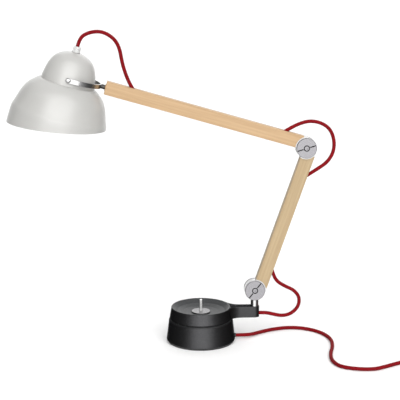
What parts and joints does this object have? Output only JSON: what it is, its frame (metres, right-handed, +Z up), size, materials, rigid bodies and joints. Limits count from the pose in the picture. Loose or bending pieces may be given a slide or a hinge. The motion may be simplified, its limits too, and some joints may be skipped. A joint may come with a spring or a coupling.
{
  "type": "desk lamp",
  "caption": "Architect desk lamp: cast base with turning dish, two wooden arms on round steel joints, and a spun bell shade in a yoke, with a red textile cord.",
  "frame": {"origin": "centre of the round foot, on the table", "axes": "+Z up; the arms move in the XZ plane, with the head towards -X and the arm's post towards +X"},
  "size_m": [0.926, 0.3169, 0.6671],
  "materials": {
    "cast_black": "fine cast texture, painted black",
    "felt_black": "felt",
    "zinc_steel": "zinc plated",
    "bronze": "sintered",
    "nylon_dark": "nylon",
    "turned_steel": "turned, with fine rings",
    "polished_steel": "polished",
    "dark_steel": "blackened",
    "fitting_metal": "satin",
    "beech": "oiled beech",
    "red_cord": "woven textile",
    "black_rubber": "moulded",
    "plug_pin_metal": "nickel plated",
    "shade_paint": "satin pale grey paint",
    "clear_plastic": "clear, slightly milky",
    "holder_plastic": "moulded",
    "bulb_glass": "opal"
  },
  "bodies": {
    "base": {"base_weight": "cast_black", "foot_pad": "felt_black", "base_cover": "zinc_steel", "cover_screws": "zinc_steel", "bearing_bush": "bronze", "thrust_ring": "nylon_dark", "terminal_block": "nylon_dark", "mains_strain_relief": "black_rubber", "cord_in_base": "red_cord", "mains_cord": "red_cord", "cord_coil": "red_cord", "plug_cord": "red_cord", "plug": "black_rubber", "plug_pins": "plug_pin_metal"},
    "turntable": {"dish": "cast_black", "spindle": "zinc_steel", "spring_washer": "zinc_steel", "spindle_nut": "zinc_steel", "steel_disc": "turned_steel", "switch_body": "nylon_dark", "switch_spring": "dark_steel", "post": "polished_steel", "post_grub_screw": "zinc_steel", "cord_in_bar": "red_cord", "spindle_lead": "red_cord"},
    "switch_button": {"switch_pin": "polished_steel"},
    "lower_arm": {"lower_arm_wood": "beech", "lower_arm_foot_fork": "fitting_metal", "lower_arm_top_fork": "fitting_metal", "lower_arm_screws": "zinc_steel", "lower_arm_slip": "beech", "cord_in_lower_arm": "red_cord", "lower_joint_front_cap": "turned_steel", "lower_joint_back_cap": "turned_steel", "lower_joint_bolt": "dark_steel", "lower_joint_washers": "nylon_dark", "elbow_front_cap": "turned_steel", "elbow_back_cap": "turned_steel", "elbow_bolt": "dark_steel", "elbow_washers": "nylon_dark", "lower_loop_cord": "red_cord", "elbow_loop_cord": "red_cord"},
    "upper_arm": {"upper_arm_wood": "beech", "upper_arm_tongue": "fitting_metal", "upper_arm_screws": "zinc_steel", "upper_arm_slip": "beech", "cord_in_upper_arm": "red_cord", "stem_bush": "bronze", "head_loop_cord": "red_cord"},
    "yoke_body": {"yoke": "polished_steel", "yoke_stem": "dark_steel"},
    "shade_body": {"shade": "shade_paint", "shade_pivot_screws": "polished_steel", "shade_pivot_spacers": "nylon_dark", "shade_nuts": "zinc_steel", "cord_gland": "clear_plastic", "holder_nipple": "zinc_steel", "lamp_holder": "holder_plastic", "bulb_cap": "fitting_metal", "bulb": "bulb_glass"}
  },
  "joints": [
    {"name": "base_swivel", "type": "hinge", "parent": "base", "child": "turntable", "pos_m": [0, 0, 0.05], "axis": [0, 0, 1], "range_deg": [-160, 160], "deforming": ["spindle_lead"]},
    {"name": "switch_press", "type": "slide", "parent": "turntable", "child": "switch_button", "axis": [0, 0, 1], "range_m": [-0.003, 0], "stiffness_N_per_m": 300, "springref_m": 0.003, "deforming": ["switch_spring"]},
    {"name": "lower_arm_tilt", "type": "hinge", "parent": "turntable", "child": "lower_arm", "pos_m": [0.1146, 0, 0.1118], "axis": [0, -1, 0], "range_deg": [-26, 40], "deforming": ["lower_loop_cord"]},
    {"name": "elbow", "type": "hinge", "parent": "lower_arm", "child": "upper_arm", "pos_m": [0.21982, 0, 0.41739], "axis": [0, 1, 0], "range_deg": [-45, 80], "deforming": ["elbow_loop_cord"]},
    {"name": "head_swivel", "type": "hinge", "parent": "upper_arm", "child": "yoke_body", "pos_m": [-0.26871, 0, 0.56751], "axis": [0.9608, 0, -0.2773], "range_deg": [-90, 90], "deforming": ["head_loop_cord"]},
    {"name": "shade_tilt", "type": "hinge", "parent": "yoke_body", "child": "shade_body", "pos_m": [-0.26871, 0, 0.56751], "axis": [0, 1, 0], "range_deg": [-4, 60]}
  ]
}
